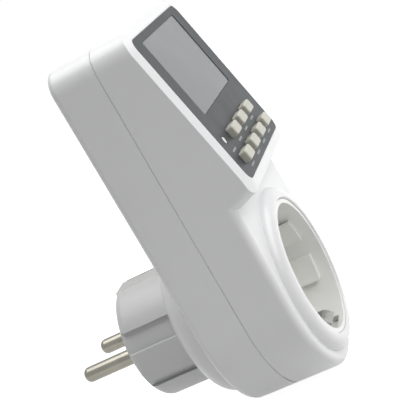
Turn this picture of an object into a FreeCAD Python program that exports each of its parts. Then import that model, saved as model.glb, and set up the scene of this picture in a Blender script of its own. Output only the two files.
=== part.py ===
"""Plug-in timer switch: a mains plug at the back, a socket at the front, a display and keys above it.

Millimetres. The origin is the centre of the plug face that meets the wall socket. +Y points at the
wall, along the pins, +Z is up and +X is to the right of someone who faces the display.
Depths are counted forwards from the plug face, so a depth of 10 lies at Y = -10.
"""
import FreeCAD, Part
import math
import os

from FreeCAD import Placement, Rotation, Vector

# Plug
PIN_R = 2.4
PIN_SPACING = 19.0
PIN_REACH = 19.0
PIN_TIP_R = 1.9
PIN_NECK_R = 2.0
PIN_NECK = 0.3
PIN_SINK = 0.5
PIN_COLLAR_R = 3.3
PIN_COLLAR = 1.0
PIN_TAIL = 2.0
PIN_FIT = 0.05
RIVET_R = 1.5
RIVET_LENGTH = 1.2
PLUG_R = 18.5
PLUG_EDGE_R = 3.0
PLUG_FACE_WALL = 3.0
PLUG_WALL = 3.0
PLUG_CHANNEL_Z = 17.0
PLUG_GUIDE_R = 17.2
PLUG_GUIDE_FROM = 3.0
PLUG_GUIDE_TO = 9.3
PLUG_FLANGE_R = 20.4
PLUG_FLANGE = 2.0
PLUG_FIT = 0.1
PIN_BOSS_R = 4.4
PIN_BOSS_DEPTH = 14.0

# Casing
HALF_WIDTH = 29.3
BODY_TOP = 85.4
TOP_CORNER_R = 6.5
WALL = 2.0
LEAST_CORNER_R = 0.5
BOSS_FACE_DEPTH = 17.7
BOSS_R = 25.3
BOSS_EDGE_R = 6.5
BOSS_WALL = 2.4
BOSS_FACE_WALL = 3.0
BOSS_INNER_EDGE_R = 2.2
REAR_DEPTH = 25.6
REAR_EDGE_R = 2.2
SEAM_DEPTH = 39.7
SEAM_GROOVE = 0.35
SEAM_GROOVE_IN = 0.3
LIP = 0.9
LIP_HEIGHT = 1.5
LIP_FIT = 0.1
LEDGE_EDGE_R = 2.2

# Socket collar and cup
COLLAR_STAND = 2.8
COLLAR_OVER_RIM = 0.5
COLLAR_ROUND_R = 3.7
COLLAR_LIP_R = 22.0
MOUTH_EDGE_R = 0.4
WELL_R = 19.6
WELL_WALL = 1.3
WELL_DEPTH = 17.5
CUP_FLOOR = 2.5
CUP_BEFORE_BOARD = 6.6
CUP_FIT = 0.15
CUP_TUBE_WALL = 1.65
CUP_FLANGE_R = 24.0
CUP_FLANGE_SETBACK = 6.4
CUP_FLANGE = 2.0
CUP_HOLE_R = 2.75
RIB_FROM = 2.7
RIB_TO = 10.1
RIB_R = 17.9
RIB_BELOW_RIM = 4.1
SUPPORT_RING_WALL = 1.6
CABLE_WAY_HALF = 13.2
CABLE_WAY_CLEAR = 0.4

# Display block and panel
TILT = 12.12
PANEL_DEPTH = 54.336
PANEL_Z = 68.01
UNDER_RUN = 6.6
UNDER_Z = 32.6
UNDER_REAR_Z = 30.3
UNDER_CORNER_R = 4.0
BEVEL = 2.8
BEVEL_DROP = 1.0
BORDER = 0.5
PANEL_SIDE = 3.35
PANEL_LOW = -32.75
PANEL_HIGH = 14.74
PANEL_CORNER_R = 2.8
PANEL_THICK = 1.2
PANEL_FIT = 0.08
PANEL_BACKING = 1.8
WINDOW_SIDE = 6.95
WINDOW_HALF_HEIGHT = 12.5
WINDOW_CORNER_R = 0.8
WINDOW_THICK = 1.0
WINDOW_SEAT = 0.8
WINDOW_FIT = 0.08

# Display behind the window
LCD_OVER_SIDE = 0.9
LCD_OVER_END = 1.75
LCD_THICK = 2.8
LCD_GAP = 0.1
LCD_FRAME_WALL = 0.9
BOARD_SETBACK = 4.0
BOARD_THICK = 1.6
ZEBRA_SIDE = 2.9
ZEBRA_WIDTH = 1.6
ZEBRA_IN = 0.5

# Keys
KEY_LENGTH = 6.6
KEY_WIDTH = 3.3
KEY_CORNER_R = 0.8
KEY_TOP_R = 0.5
KEY_HEIGHT = 2.1
KEY_FIT = 0.15
KEY_FLANGE_OVER = 0.5
KEY_FLANGE = 0.8
KEY_SEAT_GAP = 0.1
KEY_STEM_DROP = 1.1
KEY_STEM_IN = 1.0
KEY_TRAVEL = 0.8
KEY_ROW_HIGH = -21.1
KEY_ROW_LOW = -27.8
KEY_SIDE = 9.7
KEY_SHIFT = -0.4
RESET_SIDE = 5.35
RESET_S = -20.7
RESET_R = 1.0
RESET_SUNK = 0.1
RESET_FLANGE_R = 1.7
RESET_TRAVEL = 0.6
RESET_STEM_R = 0.8
PAD_GAP = 0.05
MAT_THICK = 0.6
MAT_MARGIN = 1.6
PAD_HALF = 1.9
PAD_HALF_HEIGHT = 1.2
RESET_TAB_HALF = 2.4

# Boards and what they carry
CONTROL_SIDE = 2.1
CONTROL_LOW = -33.0
CONTROL_HIGH = 15.4
PILLAR_R = 1.9
PILLAR_IN = 2.3
PILLAR_HIGH = 5.0
PILLAR_LOW = -30.0
POWER_SIDE = 4.8
POWER_LOW = 34.0
POWER_HIGH = 82.6
STANDOFF = 2.4
STANDOFF_R = 2.2
STANDOFF_IN = 2.5
STANDOFF_Z = 56.2
NOTCH_CLEAR = 0.4
LINK_HALF = 7.0
LINK_THICK = 1.0
LINK_Z = 56.0

# Screws
CASE_SCREW_SIDE = 3.5
CASE_SCREW_HIGH = 79.7
CASE_SCREW_LOW = 29.5
CASE_SCREW_R = 1.1
CASE_SCREW_BITE = 10.5
CASE_HEAD_R = 2.3
CASE_HEAD = 1.8
CASE_HEAD_SINK_R = 2.5
CASE_TUBE_R = 4.0
CASE_SINK = 6.4
CASE_SEAT = 3.0
CASE_BOSS_R = 2.6
SCREW_FIT = 0.05
SHANK_FIT = 0.3
SMALL_SCREW_R = 0.8
SMALL_HEAD_R = 1.6
SMALL_HEAD = 1.1
SMALL_SCREW_GRIP = 2.2
DRIVE_HALF = 0.25
DRIVE_SHARE = 0.7

# Metal inside
STRIP = 0.8
EARTH_HALF = 4.2
EARTH_TOP_Z = 17.9
EARTH_FRONT_DEPTH = 1.0
EARTH_HOOK = 1.9
EARTH_FIT = 0.15
YOKE_HALF = 3.9
PRONG_Z = 19.0
PRONG_BOW = 3.2
PRONG_STRAIGHT = 7.2
PRONG_END = 15.2
PRONG_STEPS = 10
PRONG_WAVE = 0.88
PRONG_SLOT_HALF = 4.6
PRONG_SLOT_Z = 16.8
PRONG_SLOT_END = 16.0
PRONG_SLOT_SKIN = 0.3
TOWER_HALF = 5.0
TOWER_WALL = 1.3
TOWER_REAR_DEPTH = 20.0
TOWER_FLOOR = 1.0
CARRIER_FIT = 0.3
CARRIER_THICK = 2.0
CLIP_HALF_HEIGHT = 2.5
CLIP_GAP = 0.2
CLIP_GRIP = 0.05
CLIP_END_CLEAR = 1.2
STRAP_IN = 6.0
STRAP_WIDTH = 2.6
STRAP_PAD_OUT = 12.4
STRAP_PAD_LOW = -2.8
STRAP_PAD_HIGH = 3.2
STRAP_RUN_Z = 11.6
TAIL_IN = 10.2
TAIL_WIDTH = 2.4
TAIL_RUN_Z = 7.6
SOLDER_LENGTH = 1.6
WINDOW_CLEAR = 0.3

# Components: places are counted from the middle (X) and from the power board's lower edge (UP)
COMPONENT_CLEAR = 2.6
RELAY_X = 11.5
RELAY_UP = 11.0
RELAY_WIDTH = 19.0
RELAY_HEIGHT = 15.5
RELAY_EDGE_R = 0.5
DROPPER_X = 10.0
DROPPER_UP = 30.0
DROPPER_WIDTH = 18.0
DROPPER_HEIGHT = 7.5
DROPPER_EDGE_R = 0.8
SMOOTHING_X = -15.0
SMOOTHING_UP = 28.0
SMOOTHING_R = 4.0
SMOOTHING_EDGE_R = 0.5
BATTERY_X = -12.0
BATTERY_UP = 10.0
BATTERY_R = 7.75
BATTERY_TALL = 6.0
BATTERY_EDGE_R = 0.8
VARISTOR_X = 12.0
VARISTOR_UP = 39.0
VARISTOR_THICK = 3.6
VARISTOR_LEAD_R = 0.4
VARISTOR_LIFT = 0.6
FUSE_X = -2.0
FUSE_UP = 40.5
FUSE_R = 1.8
FUSE_LENGTH = 9.0
FUSE_LEAD = 2.0
DIODE_COUNT = 4
DIODE_FROM_TUBE = 4.8
DIODE_LOW = 35.5
DIODE_PITCH = 3.4
DIODE_R = 1.2
DIODE_LENGTH = 4.6
DIODE_LEAD = 1.2
LEAD_HALF = 0.35
CHIP_HALF = 5.0
CHIP_LOW = 0.5
CHIP_THICK = 1.4
CRYSTAL_X = 12.0
CRYSTAL_S = -22.0
CRYSTAL_R = 1.0
CRYSTAL_LENGTH = 6.0

FAR = 120.0

# Depths that follow from the sizes above
plug_bore_r = PLUG_R + PLUG_FIT
boss_floor_depth = BOSS_FACE_DEPTH + BOSS_FACE_WALL
flange_front_depth = boss_floor_depth + PLUG_FLANGE
boss_cavity_r = BOSS_R - BOSS_WALL
cup_outer_r = WELL_R + WELL_WALL
mouth_r = cup_outer_r + CUP_FIT
power_board_depth = REAR_DEPTH + WALL + STANDOFF
power_front_depth = power_board_depth + BOARD_THICK
case_seat_depth = REAR_DEPTH + CASE_SINK
case_tube_end_depth = case_seat_depth + CASE_SEAT
case_screw_end_depth = case_tube_end_depth + CASE_SCREW_BITE
cup_back_depth = power_board_depth + CUP_BEFORE_BOARD
cup_floor_depth = cup_back_depth + CUP_FLOOR
cup_rim_depth = cup_floor_depth + WELL_DEPTH
cup_flange_depth = cup_back_depth + CUP_FLANGE_SETBACK
cup_flange_front_depth = cup_flange_depth + CUP_FLANGE
lip_top_depth = cup_rim_depth + COLLAR_OVER_RIM
ledge_depth = lip_top_depth - COLLAR_STAND

# Distances across that follow from the sizes above
pin_x = PIN_SPACING / 2
panel_half = HALF_WIDTH - PANEL_SIDE
window_half = panel_half - WINDOW_SIDE
lcd_half = window_half + LCD_OVER_SIDE
lcd_half_height = WINDOW_HALF_HEIGHT + LCD_OVER_END
key_pitch = (panel_half - KEY_SIDE) / 1.5
reset_x = RESET_SIDE - panel_half
control_half = HALF_WIDTH - WALL - CONTROL_SIDE
pillar_x = control_half - PILLAR_IN
power_half = HALF_WIDTH - WALL - POWER_SIDE
standoff_x = power_half - STANDOFF_IN
case_screw_x = HALF_WIDTH - WALL - CASE_SCREW_SIDE
diode_x = CASE_TUBE_R + DIODE_FROM_TUBE - case_screw_x

# Distances behind the panel's face
skin_back = PANEL_THICK + PANEL_BACKING
lcd_front = skin_back + LCD_GAP
lcd_back = lcd_front + LCD_THICK
board_front = skin_back + BOARD_SETBACK
board_back = board_front + BOARD_THICK
key_flange_front = skin_back + KEY_SEAT_GAP
key_flange_back = key_flange_front + KEY_FLANGE
key_stem_end = key_flange_back + KEY_STEM_DROP
pad_top = key_stem_end + KEY_TRAVEL + PAD_GAP
reset_stem_end = pad_top - RESET_TRAVEL - PAD_GAP
mat_top = board_front - MAT_THICK


def solid_box(x0, x1, depth0, depth1, z0, z1):
    """Block between two X, two depths and two heights."""
    return Part.makeBox(x1 - x0, depth1 - depth0, z1 - z0, Vector(x0, -depth1, z0))


def rod(radius, depth0, depth1, x=0.0, z=0.0):
    """Round bar along the depth."""
    return Part.makeCylinder(radius, depth1 - depth0, Vector(x, -depth0, z), Vector(0, -1, 0))


def ring(outer_r, inner_r, depth0, depth1):
    """Round tube about the plug's axis."""
    return rod(outer_r, depth0, depth1).cut(rod(inner_r, depth0 - 1, depth1 + 1))


def both_sides(shape):
    """The shape and its mirror image across the middle plane X = 0."""
    return [shape, shape.mirror(Vector(0, 0, 0), Vector(1, 0, 0))]


def top_and_bottom(shape):
    """The shape and its mirror image across the plug's axis plane Z = 0."""
    return [shape, shape.mirror(Vector(0, 0, 0), Vector(0, 0, 1))]


def join(shapes):
    """One solid from shapes that touch or overlap."""
    return shapes[0].multiFuse(shapes[1:]).removeSplitter()


def group(shapes):
    """Separate solids kept together in one node."""
    return Part.makeCompound(shapes)


def wire_of(parts):
    """Closed wire from lines and arcs given in order."""
    return Part.Wire([p.toShape() for p in parts])


def line(a, b):
    return Part.LineSegment(a, b)


def arc(a, middle, b):
    return Part.Arc(a, middle, b)


def corner_arc(start, centre, end):
    """Quarter arc from start to end about a centre."""
    radius = start.sub(centre).Length
    middle = start.add(end).multiply(0.5).sub(centre).normalize().multiply(radius).add(centre)
    return arc(start, middle, end)


def casing_outline(inset, depth):
    """Front view of the casing: half round below, straight sides, round corners on top."""
    w = HALF_WIDTH - inset
    top = BODY_TOP - inset
    r = max(TOP_CORNER_R - inset, LEAST_CORNER_R)

    def at(x, z):
        return Vector(x, -depth, z)

    parts = [
        arc(at(-w, 0), at(0, -w), at(w, 0)),
        line(at(w, 0), at(w, top - r)),
        corner_arc(at(w, top - r), at(w - r, top - r), at(w - r, top)),
        line(at(w - r, top), at(r - w, top)),
        corner_arc(at(r - w, top), at(r - w, top - r), at(-w, top - r)),
        line(at(-w, top - r), at(-w, 0)),
    ]
    return Part.Face(wire_of(parts))


def casing_slab(inset, depth0, depth1):
    """The casing's outline as a slab between two depths."""
    return casing_outline(inset, depth0).extrude(Vector(0, depth0 - depth1, 0))


def edges_at_depth(shape, depth):
    """Edges that lie wholly at one depth."""
    found = []
    for edge in shape.Edges:
        box = edge.BoundBox
        if abs(box.YMin + depth) < 1e-4 and abs(box.YMax + depth) < 1e-4:
            found.append(edge)
    return found


def turned(points):
    """Solid turned about the plug's axis from (radius, depth) points; a triple is an arc's middle."""
    parts = []
    here = points[0]
    waiting = None
    for point in points[1:] + [points[0]]:
        if len(point) == 3:
            waiting = point
            continue
        a = Vector(here[0], -here[1], 0)
        b = Vector(point[0], -point[1], 0)
        if waiting:
            parts.append(arc(a, Vector(waiting[0], -waiting[1], 0), b))
            waiting = None
        else:
            parts.append(line(a, b))
        here = point
    return Part.Face(wire_of(parts)).revolve(Vector(0, 0, 0), Vector(0, 1, 0), 360)


def on_panel(shape):
    """Place a shape made flat, with Z as the panel's outward normal, on the tilted panel."""
    shape.Placement = Placement(Vector(0, -PANEL_DEPTH, PANEL_Z), Rotation(Vector(1, 0, 0), 90 - TILT))
    return shape


def panel_box(x0, x1, s0, s1, back0, back1):
    """Block square to the panel; s runs up the panel and back is the distance behind its face."""
    return on_panel(Part.makeBox(x1 - x0, s1 - s0, back1 - back0, Vector(x0, s0, -back1)))


def panel_rod(radius, x, s, back0, back1):
    """Round bar square to the panel."""
    return on_panel(Part.makeCylinder(radius, back1 - back0, Vector(x, s, -back1)))


def rounded_wire(x0, x1, s0, s1, r, h):
    """Rectangle with round corners, flat at height h."""
    def at(x, s):
        return Vector(x, s, h)

    parts = [
        line(at(x0 + r, s0), at(x1 - r, s0)),
        corner_arc(at(x1 - r, s0), at(x1 - r, s0 + r), at(x1, s0 + r)),
        line(at(x1, s0 + r), at(x1, s1 - r)),
        corner_arc(at(x1, s1 - r), at(x1 - r, s1 - r), at(x1 - r, s1)),
        line(at(x1 - r, s1), at(x0 + r, s1)),
        corner_arc(at(x0 + r, s1), at(x0 + r, s1 - r), at(x0, s1 - r)),
        line(at(x0, s1 - r), at(x0, s0 + r)),
        corner_arc(at(x0, s0 + r), at(x0 + r, s0 + r), at(x0 + r, s0)),
    ]
    return wire_of(parts)


def flat_plate(x0, x1, s0, s1, r, back0, back1):
    """Plate with round corners, made flat, not yet placed on the panel."""
    return Part.Face(rounded_wire(x0, x1, s0, s1, r, -back1)).extrude(Vector(0, 0, back1 - back0))


def panel_plate(x0, x1, s0, s1, r, back0, back1):
    """Plate with round corners, square to the panel."""
    return on_panel(flat_plate(x0, x1, s0, s1, r, back0, back1))


def bent_strip(path, x0, x1, thickness=STRIP):
    """Sheet metal strip whose middle line follows (z, depth) points, between two X."""
    half = thickness / 2
    normals = []
    for (za, da), (zb, db) in zip(path, path[1:]):
        length = math.hypot(zb - za, db - da)
        normals.append(((da - db) / length, (zb - za) / length))
    offsets = [normals[0]]
    for first, second in zip(normals, normals[1:]):
        scale = 1 + first[0] * second[0] + first[1] * second[1]
        offsets.append(((first[0] + second[0]) / scale, (first[1] + second[1]) / scale))
    offsets.append(normals[-1])
    one = [(z + n * half, d + m * half) for (z, d), (n, m) in zip(path, offsets)]
    other = [(z - n * half, d - m * half) for (z, d), (n, m) in zip(path, offsets)]
    corners = [Vector(x0, -d, z) for z, d in one + other[::-1]]
    face = Part.Face(Part.makePolygon(corners + corners[:1]))
    return face.extrude(Vector(x1 - x0, 0, 0))


def behind_panel(back):
    """Everything behind a plane parallel to the panel."""
    return panel_box(-FAR, FAR, -FAR, FAR, back, back + 2 * FAR)


def display_wedge(inset):
    """The display block's underside and lower corners, as a slanting prism open at the top."""
    slope = (UNDER_Z - UNDER_REAR_Z) / UNDER_RUN
    w = HALF_WIDTH - inset
    r = UNDER_CORNER_R - inset
    low = UNDER_REAR_Z + inset

    def at(x, z):
        return Vector(x, -ledge_depth, z)

    parts = [
        line(at(r - w, low), at(w - r, low)),
        corner_arc(at(w - r, low), at(w - r, low + r), at(w, low + r)),
        line(at(w, low + r), at(w, FAR)),
        line(at(w, FAR), at(-w, FAR)),
        line(at(-w, FAR), at(-w, low + r)),
        corner_arc(at(-w, low + r), at(r - w, low + r), at(r - w, low)),
    ]
    face = Part.Face(wire_of(parts))
    reach = ledge_depth - SEAM_DEPTH
    face.translate(Vector(0, reach, -reach * slope))
    length = 2 * reach + UNDER_RUN
    return face.extrude(Vector(0, -length, length * slope))


def bevelled_front():
    """Tapered block whose front is the flat border round the panel and whose sides are the bevel."""
    steps = 6
    edge_r = PANEL_CORNER_R + BORDER

    def wire(grow, h):
        return rounded_wire(-panel_half - BORDER - grow, panel_half + BORDER + grow,
                            PANEL_LOW - BORDER - grow, PANEL_HIGH + BORDER + grow, edge_r + grow, h)

    taper = Part.makeLoft([wire(0, 0), wire(steps * BEVEL, -steps * BEVEL_DROP)], True, True)
    deep = Part.Face(wire(steps * BEVEL, -steps * BEVEL_DROP)).extrude(Vector(0, 0, -FAR))
    return on_panel(join([taper, deep]))


def front_space(inset, back, ledge_edge=0.0):
    """The front casing's outer shape, or its hollow when set in by the wall."""
    low = casing_slab(inset, SEAM_DEPTH, ledge_depth - inset)
    if ledge_edge:
        low = low.makeFillet(ledge_edge, edges_at_depth(low, ledge_depth))
    low = low.common(solid_box(-FAR, FAR, 0, FAR, -FAR, UNDER_Z + inset))
    block = casing_slab(inset, SEAM_DEPTH, ledge_depth + BOSS_FACE_DEPTH)
    block = block.common(display_wedge(inset)).common(behind_panel(back))
    if not inset:
        block = block.common(bevelled_front())
    return low.fuse(block)


def key_places():
    """Name, X and s of each of the seven keys."""
    high = [(f"key_upper_{name}", KEY_SHIFT + n * key_pitch, KEY_ROW_HIGH)
            for name, n in (("left", -1), ("middle", 0), ("right", 1))]
    low = [(f"key_lower_{name}", KEY_SHIFT + n * key_pitch / 2, KEY_ROW_LOW)
           for name, n in (("far_left", -3), ("left", -1), ("right", 1), ("far_right", 3))]
    return high + low


def key_hole(x, s, back0, back1):
    half = KEY_LENGTH / 2 + KEY_FIT
    tall = KEY_WIDTH / 2 + KEY_FIT
    return panel_plate(x - half, x + half, s - tall, s + tall, KEY_CORNER_R + KEY_FIT, back0, back1)


def button_holes(back0, back1):
    holes = [key_hole(x, s, back0, back1) for _, x, s in key_places()]
    return holes + [panel_rod(RESET_R + KEY_FIT, reset_x, RESET_S, back0, back1)]


def case_screw_places():
    return [(x, z) for x in (-case_screw_x, case_screw_x) for z in (CASE_SCREW_LOW, CASE_SCREW_HIGH)]


def pillar_places():
    return [(x, s) for x in (-pillar_x, pillar_x) for s in (PILLAR_LOW, PILLAR_HIGH)]


def standoff_places():
    return [(-standoff_x, STANDOFF_Z), (standoff_x, STANDOFF_Z)]


def front_casing():
    collar_side_r = COLLAR_LIP_R + COLLAR_ROUND_R
    turn = COLLAR_ROUND_R * math.sqrt(0.5)
    round_centre = lip_top_depth - COLLAR_ROUND_R
    edge_turn = MOUTH_EDGE_R * (1 - math.sqrt(0.5))
    collar = turned([
        (mouth_r, ledge_depth - WALL),
        (mouth_r, lip_top_depth - MOUTH_EDGE_R),
        (mouth_r + edge_turn, lip_top_depth - edge_turn, "arc"),
        (mouth_r + MOUTH_EDGE_R, lip_top_depth),
        (COLLAR_LIP_R, lip_top_depth),
        (COLLAR_LIP_R + turn, round_centre + turn, "arc"),
        (collar_side_r, round_centre),
        (collar_side_r, ledge_depth - WALL),
    ])
    outer = front_space(0, 0, LEDGE_EDGE_R)
    hollow = front_space(WALL, skin_back)
    tube = ring(mouth_r + CUP_TUBE_WALL, mouth_r, cup_flange_front_depth, ledge_depth)
    bosses = [rod(CASE_BOSS_R, case_tube_end_depth, FAR, x, z) for x, z in case_screw_places()]
    pillars = [panel_rod(PILLAR_R, x, s, PANEL_THICK, board_front) for x, s in pillar_places()]
    kept = [tube] + bosses + pillars
    shell = outer.cut(hollow.cut(kept))
    tails = [rod(CASE_BOSS_R, case_tube_end_depth, SEAM_DEPTH, x, z) for x, z in case_screw_places()]
    body = join([shell, collar] + tails)
    rebate = casing_slab(WALL - LIP - LIP_FIT, SEAM_DEPTH, SEAM_DEPTH + LIP_HEIGHT + LIP_FIT)
    rebate = rebate.cut(group(bosses))
    groove = casing_slab(-1, SEAM_DEPTH, SEAM_DEPTH + SEAM_GROOVE)
    groove = groove.cut(casing_slab(SEAM_GROOVE_IN, SEAM_DEPTH - 1, SEAM_DEPTH + 1))
    pocket = panel_plate(-panel_half - PANEL_FIT, panel_half + PANEL_FIT, PANEL_LOW - PANEL_FIT,
                         PANEL_HIGH + PANEL_FIT, PANEL_CORNER_R + PANEL_FIT, -1, PANEL_THICK)
    opening_half = window_half - WINDOW_SEAT
    opening_tall = WINDOW_HALF_HEIGHT - WINDOW_SEAT
    opening = panel_plate(-opening_half, opening_half, -opening_tall, opening_tall, WINDOW_CORNER_R,
                          0, skin_back + LCD_GAP)
    mouth = rod(mouth_r, cup_flange_front_depth - 1, FAR)
    pilots = [rod(CASE_SCREW_R + SCREW_FIT, case_tube_end_depth - 1, case_screw_end_depth + 0.5, x, z)
              for x, z in case_screw_places()]
    small = [panel_rod(SMALL_SCREW_R + SCREW_FIT, x, s, board_front - SMALL_SCREW_GRIP - 0.3, board_front + 1)
             for x, s in pillar_places()]
    holes = button_holes(0, skin_back + 0.5)
    return body.cut([rebate, groove, pocket, opening, mouth] + pilots + small + holes)


def rear_casing():
    slab = casing_slab(0, REAR_DEPTH, SEAM_DEPTH)
    slab = slab.makeFillet(REAR_EDGE_R, edges_at_depth(slab, REAR_DEPTH))
    boss = rod(BOSS_R, BOSS_FACE_DEPTH, REAR_DEPTH + 1)
    boss = boss.makeFillet(BOSS_EDGE_R, edges_at_depth(boss, BOSS_FACE_DEPTH))
    hollow = casing_slab(WALL, REAR_DEPTH + WALL, SEAM_DEPTH + 1)
    pocket = rod(boss_cavity_r, boss_floor_depth, SEAM_DEPTH + 1)
    pocket = pocket.makeFillet(BOSS_INNER_EDGE_R, edges_at_depth(pocket, boss_floor_depth))
    shell = slab.fuse(boss).cut([hollow, pocket])
    lip_end = SEAM_DEPTH + LIP_HEIGHT
    lip = casing_slab(WALL - LIP, SEAM_DEPTH - 1, lip_end)
    lip = lip.cut(casing_slab(WALL, SEAM_DEPTH - 2, lip_end + 1))
    support = ring(boss_cavity_r + SUPPORT_RING_WALL, boss_cavity_r, REAR_DEPTH, cup_flange_depth)
    tubes = [rod(CASE_TUBE_R, REAR_DEPTH + WALL / 2, case_tube_end_depth, x, z)
             for x, z in case_screw_places()]
    tubes = [tube.common(casing_slab(WALL / 2, REAR_DEPTH, SEAM_DEPTH)) for tube in tubes]
    standoffs = [rod(STANDOFF_R, REAR_DEPTH + WALL / 2, power_board_depth, x, z)
                 for x, z in standoff_places()]
    body = join([shell, lip, support] + tubes + standoffs)
    cable_way = solid_box(-CABLE_WAY_HALF, CABLE_WAY_HALF, power_board_depth - CABLE_WAY_CLEAR,
                          cup_flange_depth + 1, PLUG_CHANNEL_Z, HALF_WIDTH)
    cable_way = cable_way.common(rod(boss_cavity_r + SUPPORT_RING_WALL + 0.2, 0, FAR))
    bore = rod(plug_bore_r, BOSS_FACE_DEPTH - 1, boss_floor_depth + 1)
    sinks = [rod(CASE_HEAD_SINK_R, REAR_DEPTH - 1, case_seat_depth, x, z) for x, z in case_screw_places()]
    shanks = [rod(CASE_SCREW_R + SHANK_FIT, case_seat_depth - 1, case_tube_end_depth + 1, x, z)
              for x, z in case_screw_places()]
    small = [rod(SMALL_SCREW_R + SCREW_FIT, power_board_depth - SMALL_SCREW_GRIP - 0.3,
                 power_board_depth + 1, x, z) for x, z in standoff_places()]
    return body.cut([cable_way, bore] + sinks + shanks + small)


def plug_body():
    body = rod(PLUG_R, 0, flange_front_depth)
    body = body.makeFillet(PLUG_EDGE_R, edges_at_depth(body, 0))
    body = body.fuse(rod(PLUG_FLANGE_R, boss_floor_depth, flange_front_depth))
    body = body.cut(rod(PLUG_R - PLUG_WALL, PLUG_FACE_WALL, flange_front_depth + 1))
    bosses = both_sides(rod(PIN_BOSS_R, PLUG_FACE_WALL - 1, PIN_BOSS_DEPTH, pin_x))
    body = join([body] + bosses)
    bores = both_sides(rod(PIN_NECK_R + PIN_FIT, -1, PIN_BOSS_DEPTH + 1, pin_x))
    sinks = both_sides(rod(PIN_R + PIN_FIT, -1, PIN_SINK, pin_x))
    guide = solid_box(0, FAR, -1, BOSS_FACE_DEPTH + 0.5, PLUG_GUIDE_FROM, PLUG_GUIDE_TO)
    guide = guide.cut(rod(PLUG_GUIDE_R, -2, FAR))
    guides = [copy for side in both_sides(guide) for copy in top_and_bottom(side)]
    channel = solid_box(-EARTH_HALF - EARTH_FIT, EARTH_HALF + EARTH_FIT, -1, boss_floor_depth,
                        PLUG_CHANNEL_Z, FAR)
    slot = solid_box(-EARTH_HALF - EARTH_FIT, EARTH_HALF + EARTH_FIT, boss_floor_depth - 1,
                     flange_front_depth + 1, PLUG_CHANNEL_Z, EARTH_TOP_Z + EARTH_FIT)
    hook_low = EARTH_TOP_Z - EARTH_HOOK - EARTH_FIT
    hook = solid_box(-EARTH_HALF - EARTH_FIT, EARTH_HALF + EARTH_FIT, EARTH_FRONT_DEPTH - EARTH_FIT,
                     EARTH_FRONT_DEPTH + STRIP + EARTH_FIT, hook_low, FAR)
    earth = top_and_bottom(channel) + top_and_bottom(slot) + top_and_bottom(hook)
    return body.cut(bores + sinks + guides + earth)


def plug_pin(side):
    x = side * pin_x
    tip = rod(PIN_R, -PIN_REACH, -PIN_NECK, x)
    tip = tip.makeFillet(PIN_TIP_R, edges_at_depth(tip, -PIN_REACH))
    collar = rod(PIN_COLLAR_R, PIN_BOSS_DEPTH, PIN_BOSS_DEPTH + PIN_COLLAR, x)
    tail_end = PIN_BOSS_DEPTH + PIN_COLLAR + PIN_TAIL
    tail = rod(PIN_NECK_R, -PIN_NECK, tail_end, x)
    rivet = rod(RIVET_R, PIN_BOSS_DEPTH, tail_end + RIVET_LENGTH, x)
    return join([tip, collar, tail, rivet])


def plug_earth_strip():
    """Upper side contact of the plug: hooked into its front edge and led inside to the earth yoke."""
    middle = EARTH_TOP_Z - STRIP / 2
    front = EARTH_FRONT_DEPTH + STRIP / 2
    end = cup_back_depth - STRIP
    path = [(EARTH_TOP_Z - EARTH_HOOK, front), (middle, front), (middle, end)]
    strip = bent_strip(path, -EARTH_HALF, EARTH_HALF)
    narrow = solid_box(YOKE_HALF, FAR, flange_front_depth + CARRIER_THICK + 1, FAR, 0, FAR)
    return strip.cut(both_sides(narrow))


def contact_carrier():
    disc_end = flange_front_depth + CARRIER_THICK
    disc = rod(boss_cavity_r - CARRIER_FIT, flange_front_depth, disc_end)
    tower = solid_box(pin_x - TOWER_HALF, pin_x + TOWER_HALF, TOWER_REAR_DEPTH, cup_back_depth,
                      -TOWER_HALF, TOWER_HALF)
    body = join([disc] + both_sides(tower))
    inner = TOWER_HALF - TOWER_WALL
    pocket = solid_box(pin_x - inner, pin_x + inner, TOWER_REAR_DEPTH + TOWER_FLOOR, cup_back_depth + 1,
                       -inner, inner)
    tail_slot = solid_box(TAIL_IN - WINDOW_CLEAR, TAIL_IN + TAIL_WIDTH + WINDOW_CLEAR,
                          TOWER_REAR_DEPTH + TOWER_FLOOR, cup_back_depth + 1, 0,
                          TAIL_RUN_Z + STRIP / 2 + WINDOW_CLEAR)
    strap_window = solid_box(STRAP_IN - WINDOW_CLEAR, STRAP_IN + STRAP_WIDTH + WINDOW_CLEAR,
                             flange_front_depth - 1, disc_end + 1,
                             STRAP_RUN_Z - STRIP / 2 - WINDOW_CLEAR,
                             STRAP_RUN_Z + STRIP / 2 + WINDOW_CLEAR)
    earth_window = solid_box(-EARTH_HALF - EARTH_FIT, EARTH_HALF + EARTH_FIT, flange_front_depth - 1,
                             disc_end + 1, EARTH_TOP_Z - STRIP - EARTH_FIT, EARTH_TOP_Z + EARTH_FIT)
    cuts = both_sides(pocket) + both_sides(tail_slot) + both_sides(strap_window)
    return body.cut(cuts + top_and_bottom(earth_window))


def socket_contact():
    """Right-hand socket contact: two spring leaves about the pin's path, and a tail to the power board."""
    base_rear = TOWER_REAR_DEPTH + TOWER_FLOOR + CLIP_GAP
    grip = PIN_R + CLIP_GRIP
    base = solid_box(pin_x - grip - STRIP, pin_x + grip + STRIP, base_rear, base_rear + STRIP,
                     -CLIP_HALF_HEIGHT, CLIP_HALF_HEIGHT)
    leaves = [solid_box(x, x + STRIP, base_rear, cup_back_depth - CLIP_END_CLEAR, -CLIP_HALF_HEIGHT,
                        CLIP_HALF_HEIGHT) for x in (pin_x - grip - STRIP, pin_x + grip)]
    board_run = power_front_depth + STRIP / 2
    path = [(CLIP_HALF_HEIGHT - STRIP, base_rear + STRIP / 2), (TAIL_RUN_Z, base_rear + STRIP / 2),
            (TAIL_RUN_Z, board_run), (POWER_LOW + SOLDER_LENGTH, board_run)]
    tail = bent_strip(path, TAIL_IN, TAIL_IN + TAIL_WIDTH)
    return join([base] + leaves + [tail])


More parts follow.
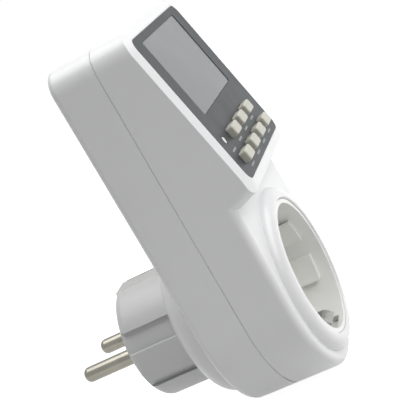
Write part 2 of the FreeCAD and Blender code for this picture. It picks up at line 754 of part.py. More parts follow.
def mains_strap():
    """Right-hand strap: riveted to the plug pin inside the plug and led to the power board."""
    rear = PIN_BOSS_DEPTH + PIN_COLLAR + PIN_TAIL
    board_run = power_front_depth + STRIP / 2
    pad = solid_box(STRAP_IN, STRAP_PAD_OUT, rear, rear + STRIP, STRAP_PAD_LOW, STRAP_PAD_HIGH)
    path = [(STRAP_PAD_LOW, rear + STRIP / 2), (STRAP_RUN_Z, rear + STRIP / 2),
            (STRAP_RUN_Z, board_run), (POWER_LOW + SOLDER_LENGTH, board_run)]
    lane = bent_strip(path, STRAP_IN, STRAP_IN + STRAP_WIDTH)
    return join([pad, lane]).cut(rod(RIVET_R + PIN_FIT, 0, FAR, pin_x))


def socket_cup():
    cup = rod(cup_outer_r, cup_back_depth, cup_rim_depth)
    cup = cup.fuse(rod(CUP_FLANGE_R, cup_flange_depth, cup_flange_front_depth))
    cup = cup.cut(rod(WELL_R, cup_floor_depth, cup_rim_depth + 1))
    rib_front = cup_rim_depth - RIB_BELOW_RIM
    rib = solid_box(0, FAR, cup_floor_depth - 0.5, rib_front, RIB_FROM, RIB_TO)
    rib = rib.common(ring(WELL_R + WELL_WALL / 2, RIB_R, cup_floor_depth - 0.5, rib_front))
    ribs = [copy for side in both_sides(rib) for copy in top_and_bottom(side)]
    cup = join([cup] + ribs)
    slot_end = cup_floor_depth + PRONG_SLOT_END
    slot = solid_box(-PRONG_SLOT_HALF, PRONG_SLOT_HALF, cup_back_depth - 1, slot_end,
                     PRONG_SLOT_Z, cup_outer_r + 0.5)
    slot = slot.cut(solid_box(-FAR, FAR, cup_flange_depth - 0.5, slot_end + 1,
                              cup_outer_r - PRONG_SLOT_SKIN, FAR))
    holes = both_sides(rod(CUP_HOLE_R, cup_back_depth - 1, cup_floor_depth + 1, pin_x))
    return cup.cut(holes + top_and_bottom(slot))


def socket_earth_spring():
    """Yoke behind the cup's floor with two bowed prongs that stand in the well."""
    yoke_middle = cup_back_depth - STRIP / 2
    half = [(0, yoke_middle), (PRONG_Z, yoke_middle)]
    for n in range(PRONG_STEPS + 1):
        share = n / PRONG_STEPS
        rise = math.sin(PRONG_WAVE * math.pi * share)
        depth = cup_floor_depth + PRONG_STRAIGHT + (PRONG_END - PRONG_STRAIGHT) * share
        half.append((PRONG_Z - PRONG_BOW * rise, depth))
    prong = bent_strip(half, -YOKE_HALF, YOKE_HALF)
    return join(top_and_bottom(prong))


def display_panel():
    panel = panel_plate(-panel_half, panel_half, PANEL_LOW, PANEL_HIGH, PANEL_CORNER_R, 0, PANEL_THICK)
    half = window_half + WINDOW_FIT
    tall = WINDOW_HALF_HEIGHT + WINDOW_FIT
    opening = panel_plate(-half, half, -tall, tall, WINDOW_CORNER_R + WINDOW_FIT, -1, PANEL_THICK + 1)
    return panel.cut([opening] + button_holes(-1, PANEL_THICK + 1))


def lcd_window():
    return panel_plate(-window_half, window_half, -WINDOW_HALF_HEIGHT, WINDOW_HALF_HEIGHT,
                       WINDOW_CORNER_R, PANEL_THICK - WINDOW_THICK, PANEL_THICK)


def lcd_glass():
    return panel_box(-lcd_half, lcd_half, -lcd_half_height, lcd_half_height, lcd_front, lcd_back)


def lcd_frame():
    wide = lcd_half + LCD_GAP
    tall = lcd_half_height + LCD_GAP
    outer = panel_box(-wide - LCD_FRAME_WALL, wide + LCD_FRAME_WALL, -tall - LCD_FRAME_WALL,
                      tall + LCD_FRAME_WALL, skin_back, board_front)
    return outer.cut(panel_box(-wide, wide, -tall, tall, skin_back - 1, board_front + 1))


def zebra_strip():
    low = -lcd_half_height + ZEBRA_IN
    half = lcd_half - ZEBRA_SIDE
    return panel_box(-half, half, low, low + ZEBRA_WIDTH, lcd_back, board_front)


def push_key(x, s):
    """Rounded key cap with a flange that keeps it in, and a stem that presses the mat."""
    half = KEY_LENGTH / 2
    tall = KEY_WIDTH / 2
    cap = flat_plate(x - half, x + half, s - tall, s + tall, KEY_CORNER_R, -KEY_HEIGHT, key_flange_back)
    top = [e for e in cap.Edges if e.BoundBox.ZMin > KEY_HEIGHT - 1e-4]
    cap = cap.makeFillet(KEY_TOP_R, top)
    flange = flat_plate(x - half - KEY_FLANGE_OVER, x + half + KEY_FLANGE_OVER,
                        s - tall - KEY_FLANGE_OVER, s + tall + KEY_FLANGE_OVER, KEY_CORNER_R,
                        key_flange_front, key_flange_back)
    stem = flat_plate(x - half + KEY_STEM_IN, x + half - KEY_STEM_IN, s - PAD_HALF_HEIGHT / 2,
                      s + PAD_HALF_HEIGHT / 2, PAD_HALF_HEIGHT / 4, key_flange_front, key_stem_end)
    return on_panel(join([cap, flange, stem]))


def reset_button():
    pin = panel_rod(RESET_R, reset_x, RESET_S, RESET_SUNK, key_flange_back)
    flange = panel_rod(RESET_FLANGE_R, reset_x, RESET_S, key_flange_front, key_flange_back)
    stem = panel_rod(RESET_STEM_R, reset_x, RESET_S, key_flange_front, reset_stem_end)
    return join([pin, flange, stem])


def keypad_mat():
    """Rubber sheet on the board with one raised pad under each button."""
    wide = 1.5 * key_pitch + PAD_HALF + MAT_MARGIN
    low = KEY_ROW_LOW - PAD_HALF_HEIGHT - MAT_MARGIN
    high = KEY_ROW_HIGH + PAD_HALF_HEIGHT + MAT_MARGIN
    sheet = panel_box(KEY_SHIFT - wide, KEY_SHIFT + wide, low, high, mat_top, board_front)
    tab = panel_box(reset_x - RESET_TAB_HALF, KEY_SHIFT - wide + 1, RESET_S - RESET_TAB_HALF,
                    RESET_S + RESET_TAB_HALF, mat_top, board_front)
    pads = [panel_box(x - PAD_HALF, x + PAD_HALF, s - PAD_HALF_HEIGHT, s + PAD_HALF_HEIGHT,
                      pad_top, board_front) for _, x, s in key_places()]
    pads.append(panel_rod(PAD_HALF_HEIGHT, reset_x, RESET_S, pad_top, board_front))
    return join([sheet, tab] + pads)


def control_board():
    board = panel_box(-control_half, control_half, CONTROL_LOW, CONTROL_HIGH, board_front, board_back)
    notch_z = CASE_SCREW_HIGH - CASE_BOSS_R - NOTCH_CLEAR
    notch_x = case_screw_x - CASE_BOSS_R - NOTCH_CLEAR
    notch = solid_box(notch_x, FAR, 0, FAR, notch_z, FAR)
    holes = [panel_rod(SMALL_SCREW_R + SHANK_FIT, x, s, board_front - 1, board_back + 1)
             for x, s in pillar_places()]
    return board.cut(both_sides(notch) + holes)


def power_board():
    board = solid_box(-power_half, power_half, power_board_depth, power_front_depth, POWER_LOW, POWER_HIGH)
    notch_x = case_screw_x - CASE_TUBE_R - NOTCH_CLEAR
    notch_z = CASE_SCREW_HIGH - CASE_TUBE_R - NOTCH_CLEAR
    notch = solid_box(notch_x, FAR, 0, FAR, notch_z, FAR)
    holes = [rod(SMALL_SCREW_R + SHANK_FIT, 0, FAR, x, z) for x, z in standoff_places()]
    return board.cut(both_sides(notch) + holes)


def board_gap(z):
    """Room in front of the power board, up to the control board's back, at height z."""
    turn = math.radians(TILT)
    back_depth = PANEL_DEPTH - (board_back + (z - PANEL_Z) * math.sin(turn)) / math.cos(turn)
    return back_depth - power_front_depth


def on_power_board(x, up, width, height, edge_r):
    """Block-shaped component standing on the power board, its free edges rounded."""
    z = POWER_LOW + up
    tall = board_gap(z + height / 2) - COMPONENT_CLEAR
    part = solid_box(x - width / 2, x + width / 2, power_front_depth, power_front_depth + tall,
                     z - height / 2, z + height / 2)
    free = [e for e in part.Edges if e.BoundBox.YMin < -power_front_depth - 1e-4]
    return part.makeFillet(edge_r, free)


def can_on_power_board(x, up, radius, tall, edge_r):
    """Round can standing on the power board."""
    can = rod(radius, power_front_depth, power_front_depth + tall, x, POWER_LOW + up)
    return can.makeFillet(edge_r, edges_at_depth(can, power_front_depth + tall))


def lying_rod(x, up, radius, length, lead_length):
    """Round component with a square wire lead at each end, lying across the power board."""
    z = POWER_LOW + up
    depth = power_front_depth + radius
    body = Part.makeCylinder(radius, length, Vector(x - length / 2, -depth, z), Vector(1, 0, 0))
    reach = length / 2 + lead_length
    lead = solid_box(x - reach, x + reach, depth - LEAD_HALF, depth + LEAD_HALF, z - LEAD_HALF,
                     z + LEAD_HALF)
    legs = [solid_box(end - LEAD_HALF, end + LEAD_HALF, power_front_depth, depth, z - LEAD_HALF,
                      z + LEAD_HALF) for end in (x - reach + LEAD_HALF, x + reach - LEAD_HALF)]
    return join([body, lead] + legs)


def relay():
    return on_power_board(RELAY_X, RELAY_UP, RELAY_WIDTH, RELAY_HEIGHT, RELAY_EDGE_R)


def dropper_capacitor():
    return on_power_board(DROPPER_X, DROPPER_UP, DROPPER_WIDTH, DROPPER_HEIGHT, DROPPER_EDGE_R)


def smoothing_capacitor():
    top = POWER_LOW + SMOOTHING_UP + SMOOTHING_R
    return can_on_power_board(SMOOTHING_X, SMOOTHING_UP, SMOOTHING_R, board_gap(top) - COMPONENT_CLEAR,
                              SMOOTHING_EDGE_R)


def backup_battery():
    return can_on_power_board(BATTERY_X, BATTERY_UP, BATTERY_R, BATTERY_TALL, BATTERY_EDGE_R)


def varistor():
    """Disc that stands on its edge on two short legs."""
    z = POWER_LOW + VARISTOR_UP
    radius = (board_gap(z + VARISTOR_THICK / 2) - COMPONENT_CLEAR - VARISTOR_LIFT) / 2
    centre_depth = power_front_depth + VARISTOR_LIFT + radius
    disc = Part.makeCylinder(radius, VARISTOR_THICK,
                             Vector(VARISTOR_X, -centre_depth, z - VARISTOR_THICK / 2))
    legs = [rod(VARISTOR_LEAD_R, power_front_depth, centre_depth, VARISTOR_X + side * radius / 2, z)
            for side in (-1, 1)]
    return join([disc] + legs)


def fuse_resistor():
    return lying_rod(FUSE_X, FUSE_UP, FUSE_R, FUSE_LENGTH, FUSE_LEAD)


def rectifier_diodes():
    return group([lying_rod(diode_x, DIODE_LOW + n * DIODE_PITCH, DIODE_R, DIODE_LENGTH, DIODE_LEAD)
                  for n in range(DIODE_COUNT)])


def processor_chip():
    return panel_box(-CHIP_HALF, CHIP_HALF, CHIP_LOW, CHIP_LOW + 2 * CHIP_HALF, board_back,
                     board_back + CHIP_THICK)


def clock_crystal():
    """Round can lying across the control board's back."""
    start = Vector(CRYSTAL_X - CRYSTAL_LENGTH / 2, CRYSTAL_S, -board_back - CRYSTAL_R)
    return on_panel(Part.makeCylinder(CRYSTAL_R, CRYSTAL_LENGTH, start, Vector(1, 0, 0)))


def board_link():
    """Stiff flat ribbon between the two boards."""
    ribbon = solid_box(-LINK_HALF, LINK_HALF, power_front_depth, ledge_depth,
                       LINK_Z - LINK_THICK / 2, LINK_Z + LINK_THICK / 2)
    return ribbon.common(behind_panel(board_back))


def screw(head_r, head, shank_r, grip):
    """Screw along -Y: the head's seat is at the origin and the head reaches back to Y = head."""
    body = Part.makeCylinder(head_r, head, Vector(0, 0, 0), Vector(0, 1, 0))
    body = body.makeFillet(head / 3, [e for e in body.Edges if e.BoundBox.YMin > head - 1e-4])
    shank = Part.makeCylinder(shank_r, grip, Vector(0, 0, 0), Vector(0, -1, 0))
    tip = Part.makeCone(shank_r, shank_r / 2, shank_r, Vector(0, -grip, 0), Vector(0, -1, 0))
    reach = head_r * DRIVE_SHARE
    bars = [Part.makeBox(2 * a, head, 2 * b, Vector(-a, head / 2, -b))
            for a, b in ((reach, DRIVE_HALF), (DRIVE_HALF, reach))]
    return join([body, shank, tip]).cut(bars)


def casing_screws():
    grip = case_screw_end_depth - case_seat_depth - CASE_SCREW_R
    found = []
    for x, z in case_screw_places():
        one = screw(CASE_HEAD_R, CASE_HEAD, CASE_SCREW_R, grip)
        one.translate(Vector(x, -case_seat_depth, z))
        found.append(one)
    return group(found)


def power_board_screws():
    grip = BOARD_THICK + SMALL_SCREW_GRIP - SMALL_SCREW_R
    found = []
    for x, z in standoff_places():
        one = screw(SMALL_HEAD_R, SMALL_HEAD, SMALL_SCREW_R, grip)
        one.rotate(Vector(0, 0, 0), Vector(0, 0, 1), 180)
        one.translate(Vector(x, -power_front_depth, z))
        found.append(one)
    return group(found)


def control_board_screws():
    grip = BOARD_THICK + SMALL_SCREW_GRIP - SMALL_SCREW_R
    found = []
    for x, s in pillar_places():
        one = screw(SMALL_HEAD_R, SMALL_HEAD, SMALL_SCREW_R, grip)
        one.rotate(Vector(0, 0, 0), Vector(1, 0, 0), -90)
        one.translate(Vector(x, s, -board_back))
        found.append(on_panel(group([one])))
    return group([solid for found_one in found for solid in found_one.Solids])


def pieces():
    """Every piece by name."""
    strip = plug_earth_strip()
    strips = top_and_bottom(strip)
    straps = both_sides(mains_strap())
    contacts = both_sides(socket_contact())
    made = {
        "rear_casing": rear_casing(),
        "front_casing": front_casing(),
        "plug_body": plug_body(),
        "plug_pin_live": plug_pin(-1),
        "plug_pin_neutral": plug_pin(1),
        "plug_earth_strip_upper": strips[0],
        "plug_earth_strip_lower": strips[1],
        "contact_carrier": contact_carrier(),
        "neutral_contact": contacts[0],
        "live_contact": contacts[1],
        "neutral_strap": straps[0],
        "live_strap": straps[1],
        "socket_cup": socket_cup(),
        "socket_earth_spring": socket_earth_spring(),
        "display_panel": display_panel(),
        "lcd_window": lcd_window(),
        "lcd_glass": lcd_glass(),
        "lcd_frame": lcd_frame(),
        "zebra_strip": zebra_strip(),
        "reset_button": reset_button(),
        "keypad_mat": keypad_mat(),
        "control_board": control_board(),
        "processor_chip": processor_chip(),
        "clock_crystal": clock_crystal(),
        "control_board_screws": control_board_screws(),
        "power_board": power_board(),
        "relay": relay(),
        "dropper_capacitor": dropper_capacitor(),
        "smoothing_capacitor": smoothing_capacitor(),
        "backup_battery": backup_battery(),
        "varistor": varistor(),
        "fuse_resistor": fuse_resistor(),
        "rectifier_diodes": rectifier_diodes(),
        "board_link": board_link(),
        "power_board_screws": power_board_screws(),
        "casing_screws": casing_screws(),
    }
    for name, x, s in key_places():
        made[name] = push_key(x, s)
    return made


os.makedirs("parts", exist_ok=True)
for name, shape in pieces().items():
    shape.exportStep(f"parts/{name}.step")
    box = shape.BoundBox
    print(f"{name}: {len(shape.Solids)} solid, {shape.Volume:.1f} mm3, valid {shape.isValid()}, "
          f"X {box.XMin:.2f} {box.XMax:.2f}, Y {box.YMin:.2f} {box.YMax:.2f}, "
          f"Z {box.ZMin:.2f} {box.ZMax:.2f}")
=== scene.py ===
"""Looks of the plug-in timer switch, in metres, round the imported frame.

+Y points at the wall along the pins, +Z is up and the display faces -Y.
"""
import math

import bpy
from mathutils import Matrix, Vector


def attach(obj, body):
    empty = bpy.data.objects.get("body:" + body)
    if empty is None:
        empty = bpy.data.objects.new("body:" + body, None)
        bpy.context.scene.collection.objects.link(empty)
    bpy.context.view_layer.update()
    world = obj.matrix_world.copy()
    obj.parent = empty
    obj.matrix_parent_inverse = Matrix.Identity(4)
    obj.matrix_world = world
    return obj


MM = 0.001

# Camera, fitted to the photograph
CAMERA_AT = Vector((-0.31905, -0.14803, 0.10308))
CAMERA_RIGHT = Vector((0.186, -0.852, -0.490))
CAMERA_UP = Vector((0.334, -0.414, 0.847))
CAMERA_LENS = 108.1
CAMERA_SENSOR = 36.0
CAMERA_NEAREST = 0.01

# Panel: a point on its face, and its tilt from upright
PANEL_AT = Vector((0, -54.336 * MM, 68.01 * MM))
PANEL_TILT = math.radians(12.12)

# Print on the panel: X of each mark, and its distance up the panel from PANEL_AT
MARKS_HIGH = [x * MM for x in (-19.8, -9.6, 0.6, 11.4)]
MARKS_HIGH_UP = -24.45 * MM
MARKS_LOW = [x * MM for x in (-15.6, -5.2, 5.5, 15.9)]
MARKS_LOW_UP = -31.1 * MM
MARK_WIDTHS = [width * MM for width in (1.0, 1.5, 0.8)]
MARK_GAP = 0.28 * MM
MARK_HEIGHT = 0.62 * MM
MARK_THICK = 0.03 * MM
MARK_ROUND = MARK_HEIGHT / 4
MARK_ROUND_STEPS = 2

# Lamps: name, place, side of the square and power, all turned to LAMPS_AIM
LAMPS_AIM = Vector((0, -0.02, 0.03))
LAMPS = [
    ("key", Vector((0.32, -0.75, 0.75)), 0.7, 5.0),
    ("front", Vector((-0.2, -0.8, 0.6)), 0.5, 3.2),
    ("top", Vector((0.0, 0.15, 1.0)), 0.8, 6.6),
]

# World: its light on the object, and the white that the camera sees
WORLD_LIGHT = 0.165
WORLD_SEEN = 1
WORLD_WHITE = (1, 1, 1, 1)

# Floor, just under the object
FLOOR_Z = -29.4 * MM
FLOOR_SIDE = 20
FLOOR_DARK = (0.58, 0.58, 0.58)
FLOOR_LIGHT = (0.60, 0.60, 0.60)
FLOOR_ROUGH = 0.9
FLOOR_GLOW = 0.92

# Moulded plastic: waves per metre, how far roughness drifts each way, and the coat
TONE_WAVES = 45
ROUGH_WAVES = 160
ROUGH_LEAST = 0.85
ROUGH_MOST = 1.15
GRAIN_STRENGTH = 0.6
COAT_ROUGH = 0.15

# Plated metal: patches in waves per metre, roughness across the drawn lines, and their depth
PATCH_WAVES = 220
LINES_LEAST = 0.7
LINES_MOST = 1.4
LINES_DEPTH = 0.002 * MM
LINES_STRENGTH = 0.5

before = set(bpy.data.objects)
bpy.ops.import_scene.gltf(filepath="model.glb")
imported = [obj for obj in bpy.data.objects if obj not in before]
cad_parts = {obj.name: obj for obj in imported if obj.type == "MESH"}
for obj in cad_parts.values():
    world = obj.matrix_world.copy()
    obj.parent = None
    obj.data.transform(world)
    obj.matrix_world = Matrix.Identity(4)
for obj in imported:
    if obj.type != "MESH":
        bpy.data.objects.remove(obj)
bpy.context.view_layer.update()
bpy.ops.object.select_all(action="DESELECT")


def new_material(name):
    """Empty node material with its node tree, its shader and its object coordinates."""
    material = bpy.data.materials.new(name)
    material.use_nodes = True
    tree = material.node_tree
    shader = tree.nodes["Principled BSDF"]
    place = tree.nodes.new("ShaderNodeTexCoord").outputs["Object"]
    return material, tree, shader, place


def noise(tree, place, waves, detail, stretch=(1, 1, 1)):
    """Noise in object coordinates, with this many waves per metre."""
    mapping = tree.nodes.new("ShaderNodeMapping")
    mapping.inputs["Scale"].default_value = stretch
    tree.links.new(place, mapping.inputs["Vector"])
    texture = tree.nodes.new("ShaderNodeTexNoise")
    texture.inputs["Scale"].default_value = waves
    texture.inputs["Detail"].default_value = detail
    tree.links.new(mapping.outputs["Vector"], texture.inputs["Vector"])
    return texture.outputs["Fac"]


def blend_colours(tree, factor, dark, light, low=0.35, high=0.65):
    """Colour that goes from dark to light as the factor rises from low to high."""
    ramp = tree.nodes.new("ShaderNodeValToRGB")
    ramp.color_ramp.elements[0].position = low
    ramp.color_ramp.elements[0].color = (*dark, 1)
    ramp.color_ramp.elements[1].position = high
    ramp.color_ramp.elements[1].color = (*light, 1)
    tree.links.new(factor, ramp.inputs["Fac"])
    return ramp.outputs["Color"]


def drift_colour(tree, factor, colour, tone):
    """Colour that drifts by a small share of itself, darker and lighter."""
    dark = [c * (1 - tone) for c in colour]
    light = [min(1, c * (1 + tone)) for c in colour]
    return blend_colours(tree, factor, dark, light)


def spread(tree, factor, low, high):
    """Number that follows the factor between two values."""
    spread_node = tree.nodes.new("ShaderNodeMapRange")
    spread_node.inputs["To Min"].default_value = low
    spread_node.inputs["To Max"].default_value = high
    tree.links.new(factor, spread_node.inputs["Value"])
    return spread_node.outputs["Result"]


def raise_surface(tree, shader, height, distance, strength):
    """Bump of the given height in metres."""
    bump = tree.nodes.new("ShaderNodeBump")
    bump.inputs["Distance"].default_value = distance
    bump.inputs["Strength"].default_value = strength
    tree.links.new(height, bump.inputs["Height"])
    tree.links.new(bump.outputs["Normal"], shader.inputs["Normal"])


def moulded_plastic(name, colour, rough, tone, grain, depth, coat=0.0):
    """Moulded plastic: fine grain, and a slow drift of tone and of roughness."""
    material, tree, shader, place = new_material(name)
    slow = noise(tree, place, TONE_WAVES, detail=2)
    tree.links.new(drift_colour(tree, slow, colour, tone), shader.inputs["Base Color"])
    cloudy = noise(tree, place, ROUGH_WAVES, detail=4)
    roughness = spread(tree, cloudy, rough * ROUGH_LEAST, rough * ROUGH_MOST)
    tree.links.new(roughness, shader.inputs["Roughness"])
    fine = noise(tree, place, grain, detail=2)
    raise_surface(tree, shader, fine, depth * MM, GRAIN_STRENGTH)
    shader.inputs["Coat Weight"].default_value = coat
    shader.inputs["Coat Roughness"].default_value = COAT_ROUGH
    return material


def plated_metal(name, colour, rough, stretch, lines=900, tone=0.06):
    """Metal with fine drawn lines along the axis that the stretch shrinks."""
    material, tree, shader, place = new_material(name)
    drawn = noise(tree, place, lines, detail=3, stretch=stretch)
    patches = noise(tree, place, PATCH_WAVES, detail=3)
    tree.links.new(drift_colour(tree, patches, colour, tone), shader.inputs["Base Color"])
    roughness = spread(tree, drawn, rough * LINES_LEAST, rough * LINES_MOST)
    tree.links.new(roughness, shader.inputs["Roughness"])
    raise_surface(tree, shader, drawn, LINES_DEPTH, LINES_STRENGTH)
    shader.inputs["Metallic"].default_value = 1
    return material


def clear_window(name):
    """Smoky plastic window: grey in itself, with the display showing faintly through."""
    material, tree, shader, place = new_material(name)
    haze = noise(tree, place, waves=40, detail=2)
    tint = blend_colours(tree, haze, dark=(0.285, 0.30, 0.31), light=(0.325, 0.34, 0.35))
    tree.links.new(tint, shader.inputs["Base Color"])
    shader.inputs["Transmission Weight"].default_value = 0.35
    shader.inputs["IOR"].default_value = 1.46
    polish = noise(tree, place, waves=300, detail=3)
    tree.links.new(spread(tree, polish, low=0.14, high=0.22), shader.inputs["Roughness"])
    return material


def display_cell(name):
    """Grey display glass: pale, a little green, smooth."""
    material, tree, shader, place = new_material(name)
    slow = noise(tree, place, waves=60, detail=2)
    tint = blend_colours(tree, slow, dark=(0.30, 0.32, 0.32), light=(0.34, 0.36, 0.355))
    tree.links.new(tint, shader.inputs["Base Color"])
    fine = noise(tree, place, waves=6000, detail=1)
    tree.links.new(spread(tree, fine, low=0.28, high=0.36), shader.inputs["Roughness"])
    raise_surface(tree, shader, fine, distance=0.001 * MM, strength=0.3)
    return material


def circuit_board(name):
    """Solder resist with tracks that show through."""
    material, tree, shader, place = new_material(name)
    wave = tree.nodes.new("ShaderNodeTexWave")
    wave.inputs["Scale"].default_value = 260
    wave.inputs["Distortion"].default_value = 14
    wave.inputs["Detail Scale"].default_value = 0.6
    tree.links.new(place, wave.inputs["Vector"])
    tracks = wave.outputs["Fac"]
    tint = blend_colours(tree, tracks, dark=(0.012, 0.10, 0.04), light=(0.03, 0.19, 0.08),
                         low=0.45, high=0.55)
    tree.links.new(tint, shader.inputs["Base Color"])
    raise_surface(tree, shader, tracks, distance=0.03 * MM, strength=0.6)
    sheen = noise(tree, place, waves=400, detail=2)
    tree.links.new(spread(tree, sheen, low=0.25, high=0.4), shader.inputs["Roughness"])
    return material


def screen_print(name):
    """Pale printed ink with slightly broken cover."""
    material, tree, shader, place = new_material(name)
    cover = noise(tree, place, waves=5200, detail=2)
    tint = blend_colours(tree, cover, dark=(0.22, 0.23, 0.24), light=(0.40, 0.41, 0.42),
                         low=0.3, high=0.6)
    tree.links.new(tint, shader.inputs["Base Color"])
    shader.inputs["Roughness"].default_value = 0.5
    return material


# Grain and lines are in waves per metre, and depth is in millimetres
white = moulded_plastic("white_casing", (0.80, 0.803, 0.81), rough=0.34, tone=0.012,
                        grain=2200, depth=0.003, coat=0.15)
plug_white = moulded_plastic("white_plug", (0.66, 0.67, 0.66), rough=0.42, tone=0.012,
                             grain=2200, depth=0.003, coat=0.1)
# The socket cup is lighter than the casing's white. Its warm tint is its own, but the extra
# brightness is painted light that lifts the shaded inside of the well.
cup_white_painted_light = moulded_plastic("warm_white_cup_painted_light", (0.86, 0.865, 0.835), rough=0.36, tone=0.015,
                            grain=2200, depth=0.003, coat=0.1)
panel_grey = moulded_plastic("dark_grey_panel", (0.026, 0.032, 0.035), rough=0.46, tone=0.06,
                             grain=5200, depth=0.010)
key_cream = moulded_plastic("cream_keys", (0.55, 0.54, 0.465), rough=0.38, tone=0.03,
                            grain=3200, depth=0.006)
reset_white = moulded_plastic("reset_white", (0.80, 0.80, 0.79), rough=0.4, tone=0.02,
                              grain=3200, depth=0.006)
window_clear = clear_window("window_clear")
cell_grey = display_cell("display_cell")
pin_nickel = plated_metal("pin_nickel", (0.235, 0.225, 0.195), rough=0.24,
                          stretch=(1, 0.04, 1))
spring_nickel = plated_metal("spring_nickel", (0.42, 0.415, 0.40), rough=0.26,
                             stretch=(0.05, 1, 1))
contact_brass = plated_metal("contact_brass", (0.72, 0.53, 0.25), rough=0.28,
                             stretch=(1, 0.1, 1), lines=700, tone=0.12)
screw_steel = plated_metal("screw_steel", (0.56, 0.57, 0.58), rough=0.32,
                           stretch=(1, 1, 0.2), lines=1200, tone=0.08)
insulator_black = moulded_plastic("insulator_black", (0.035, 0.036, 0.04), rough=0.5,
                                  tone=0.15, grain=2400, depth=0.01)
silicone = moulded_plastic("silicone_mat", (0.55, 0.56, 0.55), rough=0.62, tone=0.06,
                           grain=1600, depth=0.012)
board_green = circuit_board("board_green")
epoxy_black = moulded_plastic("epoxy_black", (0.02, 0.02, 0.022), rough=0.55, tone=0.2,
                              grain=4200, depth=0.012)
relay_blue = moulded_plastic("relay_blue", (0.03, 0.10, 0.30), rough=0.3, tone=0.05,
                             grain=1500, depth=0.004)
film_yellow = moulded_plastic("film_yellow", (0.78, 0.52, 0.06), rough=0.34, tone=0.05,
                              grain=1500, depth=0.006)
sleeve_green = moulded_plastic("sleeve_green", (0.05, 0.26, 0.10), rough=0.3, tone=0.05,
                               grain=900, depth=0.01)
ribbon_grey = moulded_plastic("ribbon_grey", (0.45, 0.45, 0.44), rough=0.5, tone=0.05,
                              grain=900, depth=0.02)
ink_pale = screen_print("ink_pale")

FINISHES = {
    white: ["front_casing", "rear_casing"],
    plug_white: ["plug_body"],
    cup_white_painted_light: ["socket_cup"],
    panel_grey: ["display_panel"],
    reset_white: ["reset_button"],
    window_clear: ["lcd_window"],
    cell_grey: ["lcd_glass"],
    pin_nickel: ["plug_pin_live", "plug_pin_neutral"],
    spring_nickel: ["plug_earth_strip_upper", "plug_earth_strip_lower", "socket_earth_spring"],
    contact_brass: ["live_contact", "neutral_contact", "live_strap", "neutral_strap"],
    screw_steel: ["casing_screws", "control_board_screws", "power_board_screws", "clock_crystal"],
    insulator_black: ["contact_carrier", "lcd_frame"],
    silicone: ["keypad_mat", "zebra_strip"],
    board_green: ["control_board", "power_board"],
    epoxy_black: ["processor_chip", "smoothing_capacitor", "rectifier_diodes"],
    relay_blue: ["relay", "varistor"],
    film_yellow: ["dropper_capacitor"],
    sleeve_green: ["backup_battery", "fuse_resistor"],
    ribbon_grey: ["board_link"],
    key_cream: [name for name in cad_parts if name.startswith("key_")],
}


def finish_nodes():
    """Give every CAD node its material."""
    for material, names in FINISHES.items():
        for name in names:
            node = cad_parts[name]
            node.data.materials.clear()
            node.data.materials.append(material)


def panel_matrix():
    """Turns a piece made flat, with Z as the outward normal, onto the panel."""
    return Matrix.Translation(PANEL_AT) @ Matrix.Rotation(math.pi / 2 - PANEL_TILT, 4, "X")


def apply_place(piece, matrix):
    """Move a piece's mesh, and leave its object at the origin."""
    piece.data.transform(matrix @ piece.matrix_world)
    piece.matrix_world = Matrix.Identity(4)


def print_dash(x, up, width):
    """One flat dash with rounded edges, lying on the plane of the print."""
    bpy.ops.mesh.primitive_cube_add(size=1, location=(x, up, MARK_THICK / 2))
    dash = bpy.context.object
    dash.scale = (width, MARK_HEIGHT, MARK_THICK)
    bpy.ops.object.transform_apply(location=False, rotation=False, scale=True)
    bevel = dash.modifiers.new("round", "BEVEL")
    bevel.width = MARK_ROUND
    bevel.segments = MARK_ROUND_STEPS
    bevel.affect = "EDGES"
    bpy.ops.object.modifier_apply(modifier="round")
    return dash


def print_marks():
    """Short pale dashes under the keys, where the panel's small print is."""
    places = [(x, MARKS_HIGH_UP) for x in MARKS_HIGH] + [(x, MARKS_LOW_UP) for x in MARKS_LOW]
    mark_width = sum(MARK_WIDTHS) + (len(MARK_WIDTHS) - 1) * MARK_GAP
    dashes = []
    for x, up in places:
        start = x - mark_width / 2
        for width in MARK_WIDTHS:
            dashes.append(print_dash(start + width / 2, up, width))
            start += width + MARK_GAP
    bpy.ops.object.select_all(action="DESELECT")
    for dash in dashes:
        dash.select_set(True)
    bpy.context.view_layer.objects.active = dashes[0]
    bpy.ops.object.join()
    marks = bpy.context.object
    marks.name = "panel_marks"
    apply_place(marks, panel_matrix())
    marks.data.materials.append(ink_pale)
    bpy.ops.object.select_all(action="DESELECT")
    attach(marks, "root")


def place_camera():
    """Camera at the photograph's viewing angle."""
    data = bpy.data.cameras.new("camera")
    data.lens = CAMERA_LENS
    data.sensor_width = CAMERA_SENSOR
    data.clip_start = CAMERA_NEAREST
    placed = bpy.data.objects.new("camera", data)
    bpy.context.scene.collection.objects.link(placed)
    right = CAMERA_RIGHT.normalized()
    back = right.cross(CAMERA_UP).normalized()
    up = back.cross(right)
    turn = Matrix((right, up, back)).transposed().to_4x4()
    placed.matrix_world = Matrix.Translation(CAMERA_AT) @ turn
    bpy.context.scene.camera = placed


def sees_background(tree):
    """1 for rays from the camera, and for those that metal and glass send on."""
    path = tree.nodes.new("ShaderNodeLightPath")
    total = path.outputs["Is Camera Ray"]
    for name in ("Is Glossy Ray", "Is Transmission Ray"):
        larger = tree.nodes.new("ShaderNodeMath")
        larger.operation = "MAXIMUM"
        tree.links.new(total, larger.inputs[0])
        tree.links.new(path.outputs[name], larger.inputs[1])
        total = larger.outputs[0]
    return total


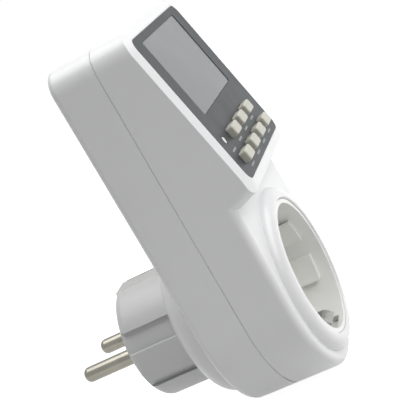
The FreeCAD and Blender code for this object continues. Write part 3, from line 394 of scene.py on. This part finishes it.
def light_world():
    """Even light from all round, with a white background for the camera."""
    studio = bpy.data.worlds.new("studio")
    studio.use_nodes = True
    tree = studio.node_tree
    light = tree.nodes["Background"]
    light.inputs["Strength"].default_value = WORLD_LIGHT
    light.inputs["Color"].default_value = WORLD_WHITE
    seen = tree.nodes.new("ShaderNodeBackground")
    seen.inputs["Strength"].default_value = WORLD_SEEN
    seen.inputs["Color"].default_value = WORLD_WHITE
    mix = tree.nodes.new("ShaderNodeMixShader")
    tree.links.new(sees_background(tree), mix.inputs["Fac"])
    tree.links.new(light.outputs[0], mix.inputs[1])
    tree.links.new(seen.outputs[0], mix.inputs[2])
    tree.links.new(mix.outputs[0], tree.nodes["World Output"].inputs["Surface"])
    bpy.context.scene.world = studio


def lay_floor():
    """Plain pale floor that keeps the object's shadow and glows white to the camera."""
    bpy.ops.mesh.primitive_plane_add(size=FLOOR_SIDE, location=(0, 0, FLOOR_Z))
    plane = bpy.context.object
    plane.name = "floor"
    material, tree, shader, place = new_material("floor_white")
    shader.inputs["Roughness"].default_value = FLOOR_ROUGH
    shader.inputs["Specular IOR Level"].default_value = 0
    slow = noise(tree, place, waves=3, detail=2)
    tint = blend_colours(tree, slow, FLOOR_DARK, FLOOR_LIGHT)
    tree.links.new(tint, shader.inputs["Base Color"])
    glow = tree.nodes.new("ShaderNodeEmission")
    glow_share = tree.nodes.new("ShaderNodeMath")
    glow_share.operation = "MULTIPLY"
    glow_share.inputs[1].default_value = FLOOR_GLOW
    tree.links.new(sees_background(tree), glow_share.inputs[0])
    tree.links.new(glow_share.outputs[0], glow.inputs["Strength"])
    both = tree.nodes.new("ShaderNodeAddShader")
    tree.links.new(shader.outputs[0], both.inputs[0])
    tree.links.new(glow.outputs[0], both.inputs[1])
    tree.links.new(both.outputs[0], tree.nodes["Material Output"].inputs["Surface"])
    plane.data.materials.append(material)
    bpy.ops.object.select_all(action="DESELECT")


def hang_lamps():
    """Soft square lamps, turned to the object."""
    for name, at, side, power in LAMPS:
        data = bpy.data.lights.new(name, "AREA")
        data.energy = power
        data.shape = "SQUARE"
        data.size = side
        lamp = bpy.data.objects.new(name, data)
        bpy.context.scene.collection.objects.link(lamp)
        lamp.location = at
        lamp.rotation_euler = (LAMPS_AIM - at).to_track_quat("-Z", "Y").to_euler()


finish_nodes()
print_marks()
place_camera()
light_world()
lay_floor()
hang_lamps()
bpy.context.scene.view_settings.view_transform = "Standard"
